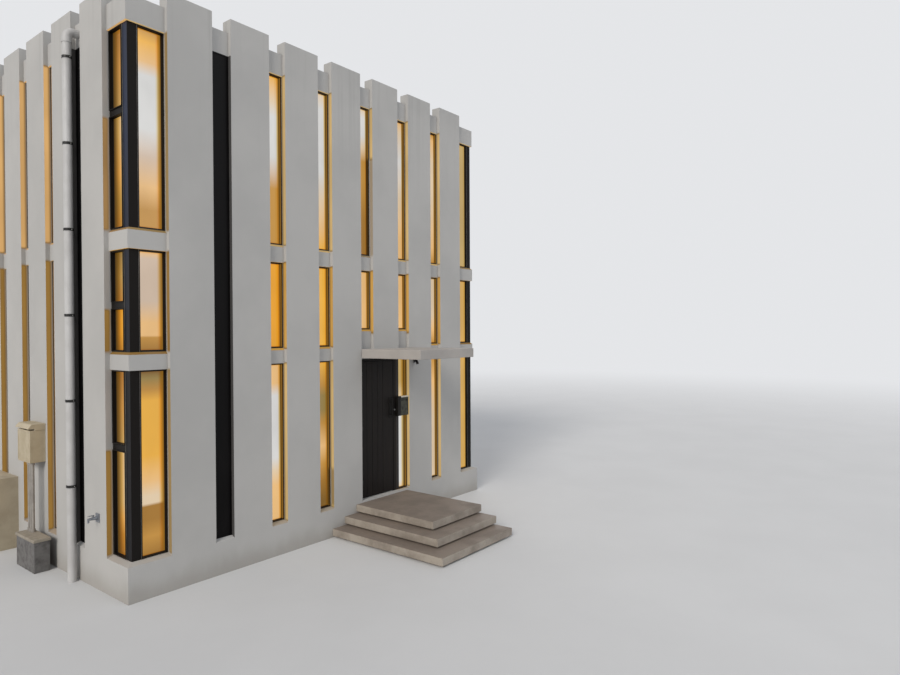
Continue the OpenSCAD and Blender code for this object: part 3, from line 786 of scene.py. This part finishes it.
def solidsOf(nodeName):
    # lowest and highest corner of each separate solid of a CAD node
    bm = joined(nodes[nodeName].data, joinWithin["cad"])
    seen, found = set(), []
    for first in bm.verts:
        if first.index in seen:
            continue
        stack, own = [first], []
        seen.add(first.index)
        while stack:
            vert = stack.pop()
            own.append(vert.co.copy())
            for edge in vert.link_edges:
                other = edge.other_vert(vert)
                if other.index not in seen:
                    seen.add(other.index)
                    stack.append(other)
        found.append([Vector([pick(c[k] for c in own) for k in range(3)]) for pick in (min, max)])
    bm.free()
    return found


def reachOf(box, direction):
    return sorted(corner.dot(direction) for corner in box)


def setEach(items, field, values):
    for item, value in zip(items, values):
        setattr(item, field, value)


for node in nodes.values():
    node.data.materials.clear()

facades = {  # outward direction, and the direction to the right seen from outside
    "front": (Vector((0, -1, 0)), Vector((1, 0, 0))),
    "right": (Vector((1, 0, 0)), Vector((0, 1, 0))),
    "back": (Vector((0, 1, 0)), Vector((-1, 0, 0))),
    "left": (Vector((-1, 0, 0)), Vector((0, -1, 0))),
}
finishOf = {
    wallPaint: ("foundation", "corner_blocks", "front_piers_left", "front_pier_over_door",
                "front_piers_right", "left_piers", "right_piers", "back_piers",
                *(side + part for side in facades for part in ("_plinth", "_spandrels"))),
    floorBoards: ("ground_floor", "middle_floor", "upper_floor"),
    roofSheet: ("roof_slab",),
    frameMetal: ("door_frame", *(side + "_frames" for side in facades)),
    postMetal: ("corner_posts",),
    slitPanel: ("slit_panels",),
    doorWood: ("door_leaf",),
    letterMetal: ("mailbox",),
    plain["darkSteel"]: ("canopy_lamp", "pipe_brackets", "frame_hinges", "leaf_hinges"),
    plain["gripMetal"]: ("door_handle",),
    plain["pipePaint"]: ("downpipe",),
    plain["conduitPaint"]: ("meter_conduits",),
    plain["tapMetal"]: ("wall_outlet",),
    plain["meterBoxWarmLitPaint"]: ("meter_box",),
    plain["serviceUnitPaint"]: ("service_unit",),
    plain["outdoorUnitWarmLitPaint"]: ("outdoor_unit",),
}
for material, names in finishOf.items():
    for nodeName in names:
        nodes[nodeName].data.materials.append(material)

# panes: each look lists parts of the height from the bottom up, with the tone of the painted light there;
# the dark tones are painted shade

paneTones = {
    "white": (0.67, 0.665, 0.65),
    "cream": (0.72, 0.565, 0.385),
    "peach": (0.80, 0.49, 0.205),
    "rose": (0.63, 0.49, 0.375),
    "amber": (0.84, 0.44, 0.06),
    "orange": (0.78, 0.34, 0.02),
    "ochre": (0.65, 0.375, 0.085),
    "gold": (0.52, 0.265, 0.05),
    "sand": (0.51, 0.35, 0.12),
    "bronze": (0.35, 0.17, 0.028),
    "olive": (0.31, 0.215, 0.065),
    "umber": (0.20, 0.105, 0.022),
}
paneLooks = {
    "cornerHigh": {0: "gold", 0.09: "gold", 0.21: "peach", 0.36: "rose", 0.50: "white", 0.77: "white",
                   0.84: "peach", 0.94: "amber", 1: "gold"},
    "cornerMiddle": {0: "bronze", 0.13: "gold", 0.15: "peach", 0.28: "peach", 0.50: "rose", 0.93: "rose",
                     1: "peach"},
    "cornerLow": {0: "bronze", 0.10: "gold", 0.19: "bronze", 0.265: "bronze", 0.28: "cream", 0.32: "cream",
                  0.40: "peach", 0.54: "amber", 0.84: "amber", 0.90: "gold", 0.96: "olive", 1: "umber"},
    "dayHigh": {0: "gold", 0.14: "gold", 0.27: "gold", 0.33: "gold", 0.43: "rose", 0.52: "white",
                0.76: "white", 0.85: "cream", 0.94: "peach", 1: "amber"},
    "pale": {0: "amber", 0.12: "peach", 0.32: "cream", 0.5: "white", 0.9: "white", 1: "cream"},
    "halfLit": {0: "bronze", 0.25: "bronze", 0.50: "gold", 0.64: "gold", 0.74: "cream", 0.82: "white",
                0.94: "white", 1: "cream"},
    "creamy": {0: "peach", 0.16: "peach", 0.44: "cream", 0.72: "white", 0.93: "cream", 1: "peach"},
    "soft": {0: "gold", 0.12: "peach", 0.5: "cream", 0.78: "cream", 0.95: "peach", 1: "gold"},
    "sandy": {0: "sand", 0.8: "sand", 1: "sand"},
    "ochreBlind": {0: "ochre", 0.8: "ochre", 1: "ochre"},
    "orange": {0: "orange", 1: "orange"},
    "amberBlind": {0: "amber", 0.5: "amber", 1: "amber"},
    "peachBlind": {0: "peach", 0.8: "peach", 1: "peach"},
    "creamOverPeach": {0: "gold", 0.2: "peach", 0.45: "cream", 1: "cream"},
    "golden": {0: "gold", 0.25: "amber", 0.55: "gold", 1: "sand"},
    "whiteMiddle": {0: "peach", 0.22: "peach", 0.32: "cream", 0.40: "white", 0.80: "white", 0.88: "peach",
                    1: "peach"},
    "banded": {0: "umber", 0.05: "umber", 0.18: "bronze", 0.30: "gold", 0.42: "peach", 0.58: "gold",
               0.67: "olive", 0.77: "olive", 0.84: "gold", 1: "amber"},
    "sideLight": {0: "cream", 0.05: "white", 0.60: "white", 0.68: "cream", 0.82: "sand", 1: "sand"},
    "creamFoot": {0: "cream", 0.5: "cream", 0.8: "peach", 1: "gold"},
    "upperSash": {0: "cream", 0.5: "peach", 1: "gold"},
    "oliveSash": {0: "gold", 0.5: "sand", 1: "olive"},
    "orangeSash": {0: "gold", 0.4: "amber", 1: "amber"},
    "creamSash": {0: "gold", 0.25: "sand", 0.5: "peach", 0.85: "cream", 1: "cream"},
    "creamFootSash": {0: "bronze", 0.20: "gold", 0.36: "peach", 0.5: "cream", 1: "cream"},
}
# the looks of each side from its left corner to its right one; the dark panel and the door have none
paneTable = {
    "front": {
        "upper": ("cornerHigh", None, "dayHigh", "pale", "halfLit", "creamy", "soft", "sandy"),
        "middle": ("cornerMiddle", None, "orange", "amberBlind", "peachBlind", "peachBlind",
                   "creamOverPeach", "ochreBlind"),
        "lower": ("cornerLow", None, "whiteMiddle", "banded", None, "sideLight", "creamFoot", "ochreBlind"),
    },
    "other": {
        "upper": ("golden", "creamy", "creamFoot", "pale", "halfLit", "soft", "dayHigh", "golden"),
        "middle": ("orange", "golden", "pale", "orange", "golden", "pale", "golden", "amberBlind"),
        "lower": ("golden", "creamFoot", "creamy", "banded", "whiteMiddle", "creamy", "creamFoot",
                  "golden"),
    },
    # the sashes of a corner window on the left and right sides, from the bottom up
    "splitCorner": ("creamFootSash", "upperSash", "orangeSash", "oliveSash", "creamSash", "upperSash"),
}
paneShape = {
    "pitch": 0.91,
    "firstAt": 3.22,  # the first pane's middle lies this far left of the middle of its side
    "cornerFrom": 3.0,  # the corner windows lie farther out than this
    "rowTops": {"lower": 2.9, "middle": 4.4, "upper": 99.0},  # a row's panes begin below this height
    "sashTops": {"lower": 1.0, "middle": 3.5, "upper": 5.0},  # and its lower sashes below this one
}
goldReach = {  # how far the painted gold shade reaches in from the sides of a pane
    "strip": 0.060,
    "perMetre": 0.0085,  # it narrows along the front by this, from the first strip on
    "fromFirst": 1.365,
    "post": 0.012,  # at a corner post
    "corner": 0.085,  # at the other side of a corner window
    "split": 0.27,
    "upperSash": 0.36,
    "door": (0.012, 0.110),  # left and right in the window beside the door
}
# how strong the painted shade at a pane's very sides is
edgeShadeLevels = {"sideLight": 0.42, "halfLit": 0.35, "split": 0.42}


def isSplit(side, middle):
    # the corner windows on the left and right sides have two sashes, one over the other
    return side in ("left", "right") and abs(middle) > paneShape["cornerFrom"]


def paneLookOf(side, middle, low):
    row = next(name for name, top in paneShape["rowTops"].items() if low < top)
    if isSplit(side, middle):
        rank = 2 * list(paneShape["rowTops"]).index(row) + (low > paneShape["sashTops"][row])
        return paneTable["splitCorner"][rank]
    column = round((middle + paneShape["firstAt"]) / paneShape["pitch"])
    return paneTable["front" if side == "front" else "other"][row][column]


def goldReachOf(side, middle, look):
    # the reach of the gold from the left and from the right edge of a pane
    if look == "sideLight":
        return goldReach["door"]
    if abs(middle) < paneShape["cornerFrom"]:
        past = middle + goldReach["fromFirst"] if side == "front" else 0.0
        reach = goldReach["strip"] - goldReach["perMetre"] * past
        return reach, reach
    split = look if look in goldReach else "split"
    far = goldReach["corner" if side in ("front", "back") else split]
    return (goldReach["post"], far) if middle < 0 else (far, goldReach["post"])


def makePanes(side):
    outward, across = facades[side]
    verts, faces, maps, tones, sizes = [], [], [], [], []
    for box in solidsOf(side + "_glass"):
        a0, a1 = reachOf(box, across)
        d0, d1 = reachOf(box, outward)
        low = box[0].z
        wide, tall, middle = a1 - a0, box[1].z - low, (a0 + a1) / 2
        look = paneLookOf(side, middle, low)
        stops = list(paneLooks[look].items())
        base = len(verts)
        for part, tone in stops:
            for a, d in ((a0, d1), (a1, d1), (a1, d0), (a0, d0)):
                verts.append(across * a + outward * d + Vector((0, 0, low + part * tall)))
                tones.append((*paneTones[tone], 1.0))
        for k in range(len(stops) - 1):
            v0, v1 = stops[k][0], stops[k + 1][0]
            here = base + 4 * k
            for c, (u0, u1) in enumerate(((0, 1), (1, 1), (1, 0), (0, 0))):
                n = (c + 1) % 4
                faces.append([here + c, here + n, here + 4 + n, here + 4 + c])
                maps.extend(((u0, v0), (u1, v0), (u1, v1), (u0, v1)))
        last = base + 4 * (len(stops) - 1)
        faces += [[base + 3, base + 2, base + 1, base], [last, last + 1, last + 2, last + 3]]
        maps.extend([(0, 0)] * 4 + [(0, 1)] * 4)
        level = edgeShadeLevels.get("split" if isSplit(side, middle) else look, 1.0)
        values = (wide, tall, *goldReachOf(side, middle, look), level)
        sizes += [values] * (4 * (len(stops) - 1) + 2)
    mesh = bpy.data.meshes.new(side + "Panes")
    mesh.from_pydata(verts, [], faces)
    setEach(mesh.uv_layers.new(name="paneMap").data, "uv", maps)
    setEach(mesh.attributes.new("paneTone", "FLOAT_COLOR", "POINT").data, "color", tones)
    for label, values in zip(paneMeasures, zip(*sizes)):
        setEach(mesh.attributes.new(label, "FLOAT", "FACE").data, "value", values)
    addPiece(side + "Panes", mesh, "house", litPane, (side + "_glass",))


for side in facades:
    makePanes(side)
print("stage: lit panes made")

# geometry nodes: a strip swept along paths, studs on points, and a row of slats


class Recipe(Graph):
    def __init__(self, name, inputs):
        geometry = {"Geometry": "Geometry"}
        ins = {**geometry, **inputs, "Material": "Material"}
        super().__init__(openTree(name, "GeometryNodeTree", ins, geometry))
        self.start = self.add("NodeGroupInput").outputs

    def step(self, kind, ins, out=0, **props):
        return self.add(kind, ins, **props).outputs[out]

    def close(self, geometry):
        solid = self.step("GeometryNodeRealizeInstances", {"Geometry": geometry})
        ins = {"Geometry": solid, "Material": self.start["Material"]}
        self.add("NodeGroupOutput", {"Geometry": self.step("GeometryNodeSetMaterial", ins)})
        return self.tree


def sweepTree():
    # the corner factor keeps a strip's width where every point of its path is a right angle
    t = Recipe("sweepAlong", {"Face Width": 0.01, "Depth": 0.01, "Corner Factor": math.sqrt(2)})
    path = t.step("GeometryNodeMeshToCurve", {"Mesh": t.start["Geometry"]})
    wide = t.product(t.start["Face Width"], t.start["Corner Factor"])
    sizes = {"Width": wide, "Height": t.start["Depth"]}
    profile = t.step("GeometryNodeCurvePrimitiveQuadrilateral", sizes)
    ins = {"Curve": path, "Profile Curve": profile, "Fill Caps": True}
    return t.close(t.step("GeometryNodeCurveToMesh", ins))


def studTree():
    t = Recipe("studsOnPoints", {"Radius": 0.005, "Height": 0.003, "Sides": 12, "Seed": 7})
    sizes = {"Vertices": t.start["Sides"], "Radius": t.start["Radius"], "Depth": t.start["Height"]}
    stud = t.step("GeometryNodeMeshCylinder", sizes, "Mesh")
    way = t.step("GeometryNodeInputNamedAttribute", {"Name": "way"}, data_type="FLOAT_VECTOR")
    turn = t.step("FunctionNodeAlignRotationToVector", {"Vector": way}, axis="Z")
    draw = {"Seed": t.start["Seed"], 2: 0.0, 3: math.pi}
    angle = t.step("FunctionNodeRandomValue", draw, 1, data_type="FLOAT")
    spin = t.step("FunctionNodeAxisAngleToRotation", {"Axis": (0, 0, 1), "Angle": angle})
    turns = {"Rotation": turn, "Rotate By": spin}
    both = t.step("FunctionNodeRotateRotation", turns, rotation_space="LOCAL")
    points = t.step("GeometryNodeMeshToPoints", {"Mesh": t.start["Geometry"]})
    ins = {"Points": points, "Instance": stud, "Rotation": both}
    return t.close(t.step("GeometryNodeInstanceOnPoints", ins))


def slatTree():
    t = Recipe("rowOfSlats", {"Count": 5, "Step": (0, 0, 0.02), "Size": (0.01, 0.1, 0.01),
                              "Start": (0, 0, 0)})
    row = {"Count": t.start["Count"], "Start Location": t.start["Start"], "Offset": t.start["Step"]}
    line = t.step("GeometryNodeMeshLine", row, mode="OFFSET")
    slat = t.step("GeometryNodeMeshCube", {"Size": t.start["Size"]}, "Mesh")
    return t.close(t.step("GeometryNodeInstanceOnPoints", {"Points": line, "Instance": slat}))


sweepNodes, studNodes, slatNodes = sweepTree(), studTree(), slatTree()


def bake(name, mesh, tree, values, body="house"):
    # runs a node tree on a seed mesh and keeps the result as one plain mesh
    seed = addObject(name + "Seed", mesh)
    mod = seed.modifiers.new("nodes", "NODES")
    mod.node_group = tree
    for item in tree.interface.items_tree:
        if item.in_out == "INPUT" and item.name in values:
            mod[item.identifier] = values[item.name]
    depsgraph = bpy.context.evaluated_depsgraph_get()
    made = bpy.data.meshes.new_from_object(seed.evaluated_get(depsgraph), preserve_all_data_layers=True,
                                           depsgraph=depsgraph)
    made.name = name
    seed.modifiers.remove(mod)
    bpy.data.objects.remove(seed)
    bpy.data.meshes.remove(mesh)
    bm = joined(made, joinWithin["made"])
    bmesh.ops.recalc_face_normals(bm, faces=bm.faces)
    bm.to_mesh(made)
    bm.free()
    addPiece(name, made, body)


def ring(first):
    return [(first + k, first + (k + 1) % 4) for k in range(4)]


def seedMesh(points, edges=(), ways=()):
    mesh = bpy.data.meshes.new("seed")
    mesh.from_pydata(points, edges, [])
    if ways:
        setEach(mesh.attributes.new("way", "FLOAT_VECTOR", "POINT").data, "vector", ways)
    return mesh


def sweepPaths(name, mesh, size, material, slot="frame", **more):
    wide, deep = size
    values = {"Face Width": wide, "Depth": deep, "Material": material, **more}
    bake(name, mesh, sweepNodes, values)


def sweepRound(name, boxes, side, size, material, inset=0.0, lift=0.0):
    # one closed strip round each box, just inside its edge and on its front face
    outward, across = facades[side]
    edge = inset + size[0] / 2
    points, edges = [], []
    for box in boxes:
        left, right = reachOf(box, across)
        left, right = left + edge, right - edge
        foot, top = box[0].z + edge, box[1].z - edge
        d = reachOf(box, outward)[1] + lift + size[1] / 2
        edges += ring(len(points))
        for a, z in ((left, foot), (right, foot), (right, top), (left, top)):
            points.append(across * a + outward * d + Vector((0, 0, z)))
    sweepPaths(name, seedMesh(points, edges), size, material)


def setStuds(name, places, ways, disc, sides, seed, body="house"):
    values = {"Radius": disc[0], "Height": disc[1], "Sides": sides, "Seed": seed,
              "Material": plain["satinSteel"]}
    bake(name, seedMesh(places, (), ways), studNodes, values, body)


def setSlats(name, material, slot, **values):
    bake(name, seedMesh([(0, 0, 0)]), slatNodes, {"Material": material, **values})


# rubber against the panes, a seal between frame and wall, and the sash rims of the split windows

beadLook = {  # width and depth of each strip
    "gasket": (0.004, 0.006),
    "joint": (0.006, 0.004),
    "rim": (0.014, 0.012),
    "rimInset": -0.012,  # a rim begins outside its pane and in front of it
    "rimLift": 0.038,
}


def makeBeads(side, s):
    panes, frames = solidsOf(side + "_glass"), solidsOf(side + "_frames")
    sweepRound(side + "Gaskets", panes, side, s["gasket"], plain["sealRubber"])
    sweepRound(side + "Joints", frames, side, s["joint"], plain["jointSeal"])
    split = [box for box in panes if isSplit(side, sum(reachOf(box, facades[side][1])) / 2)]
    if split:
        sweepRound(side + "SashRims", split, side, s["rim"], frameMetal, s["rimInset"], s["rimLift"])


for side in facades:
    makeBeads(side, beadLook)
print("stage: gaskets, seals and sash rims swept")

# the front door: a stop behind the leaf, discs on the locks, a cover over the post and a bell push

entryLook = {
    "opening": ((0.360, 0.450), (1.155, 2.785)),  # lower left and upper right corner, across and up
    "stop": (0.016, 0.014),
    "stopAt": -3.478,
    "lockX": 1.107,
    "lockY": -3.543,
    "lockZ": (1.865, 2.025),
    "disc": (0.0135, 0.003),  # radius and height
    "cover": ((1.2255, -3.530, 0.4745), (1.290, -3.4925, 2.8055)),
    "bell": (1.185, -3.530, 1.895),
    "bellDisc": (0.016, 0.006),
    "sides": 24,
}


def makeDoorParts(s):
    (x0, z0), (x1, z1) = s["opening"]
    deep = s["stop"][1]
    box = (Vector((x0, s["stopAt"], z0)), Vector((x1, s["stopAt"] + deep, z1)))
    sweepRound("doorStop", [box], "front", s["stop"], plain["darkSteel"], lift=-deep)
    forward = (0, -1, 0)
    places = [(s["lockX"], s["lockY"] - s["disc"][1] / 2, z) for z in s["lockZ"]]
    setStuds("lockDiscs", places, [forward] * len(places), s["disc"], s["sides"], 3, "door")
    low, high = (Vector(corner) for corner in s["cover"])
    setSlats("postCover", plain["darkSteel"], "frame", Count=1, Size=high - low, Start=(low + high) / 2)
    x, y, z = s["bell"]
    setStuds("bellPush", [(x, y - s["bellDisc"][1] / 2, z)], [forward], s["bellDisc"], s["sides"], 4)


makeDoorParts(entryLook)
print("stage: door parts made")

# steps, canopy and cases with softened edges: copies of CAD nodes, which stand for them

softLook = {
    "flatWithin": 1,  # degrees between faces that are joined
    "sharpFrom": 30,  # degrees between faces whose edge is softened
    "segments": 2,
    "widths": {"step_lower": 0.007, "step_middle": 0.007, "step_upper": 0.007, "canopy": 0.006,
               "service_unit": 0.008, "meter_box": 0.005},
}


def soften(nodeName, material, s):
    bm = joined(nodes[nodeName].data, joinWithin["cad"])
    bmesh.ops.dissolve_limit(bm, angle_limit=math.radians(s["flatWithin"]), verts=bm.verts, edges=bm.edges)
    mesh = bpy.data.meshes.new(nodeName + "Soft")
    bm.to_mesh(mesh)
    bm.free()
    ob = addPiece(nodeName + "Soft", mesh, "house", material, (nodeName,))
    mod = ob.modifiers.new("softEdge", "BEVEL")
    mod.width, mod.segments, mod.limit_method = s["widths"][nodeName], s["segments"], "ANGLE"
    mod.angle_limit = math.radians(s["sharpFrom"])
    mod.use_clamp_overlap = True


for nodeName in ("step_lower", "step_middle", "step_upper"):
    soften(nodeName, stepStone, softLook)
soften("canopy", plain["canopyPaint"], softLook)
soften("service_unit", plain["serviceUnitPaint"], softLook)
soften("meter_box", plain["meterBoxWarmLitPaint"], softLook)
print("stage: steps, canopy and cases softened")

# the outdoor unit: slats in its lower recess, spokes from a hub over the fan guard

unitLook = {
    "front": -3.92,
    "slats": 5,
    "slatStep": 0.017,
    "slatSize": (0.006, 0.65, 0.007),
    "slatFrom": (-3.9155, 0.30, 0.071),
    "fan": (0.30, 0.6322),
    "fanRadius": 0.266,
    "spokes": 16,
    "wire": 0.005,
    "hub": 0.045,
}


def makeUnitParts(s):
    paint = plain["outdoorUnitWarmLitPaint"]
    setSlats("intakeSlats", paint, "case", Count=s["slats"], Step=(0, 0, s["slatStep"]),
             Size=s["slatSize"], Start=s["slatFrom"])
    y, z = s["fan"]
    x = s["front"] + s["wire"] / 2
    points, edges = [], []
    for k in range(s["spokes"]):
        turn = 2 * math.pi * k / s["spokes"]
        for reach in (s["hub"], s["fanRadius"]):
            points.append((x, y + reach * math.cos(turn), z + reach * math.sin(turn)))
        edges.append((2 * k, 2 * k + 1))
    straight = {"Corner Factor": 1.0}
    sweepPaths("fanSpokes", seedMesh(points, edges), (s["wire"], s["wire"]), paint, "case", **straight)


makeUnitParts(unitLook)
print("stage: outdoor unit dressed")

# screws on the pipe bands and the meter box

screwLook = {
    "disc": (0.006, 0.004),  # radius and height
    "sides": 12,
    "caseFront": -3.8,
    "inset": 0.020,  # from the meter box's sides
    "low": 0.012,  # from its foot
    "high": 0.11,  # from its top
}


def makeScrews(s):
    places, ways = [], []
    out = s["disc"][1] / 2
    for low, high in solidsOf("pipe_brackets"):
        x, _, z = ((a + b) / 2 for a, b in zip(low, high))
        places.append((x, low.y - out, z))
        ways.append((0, -1, 0))
    low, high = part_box("meter_box")
    for z in (low[2] + s["low"], high[2] - s["high"]):
        for y in (low[1] + s["inset"], high[1] - s["inset"]):
            places.append((s["caseFront"] - out, y, z))
            ways.append((-1, 0, 0))
    setStuds("caseScrews", places, ways, s["disc"], s["sides"], 5)


makeScrews(screwLook)
print("stage: screws set")

# the roof: a flashing strip round the inside of the parapet

roofParts = {"half": 3.42, "level": 7.30, "strip": (0.006, 0.10)}


def makeFlashing(s):
    wide, tall = s["strip"]
    at, z = s["half"] - wide / 2, s["level"] + tall / 2
    points = [(-at, -at, z), (at, -at, z), (at, at, z), (-at, at, z)]
    sweepPaths("roofFlashing", seedMesh(points, ring(0)), s["strip"], plain["jointSeal"])


makeFlashing(roofParts)
print("stage: roof flashing swept")
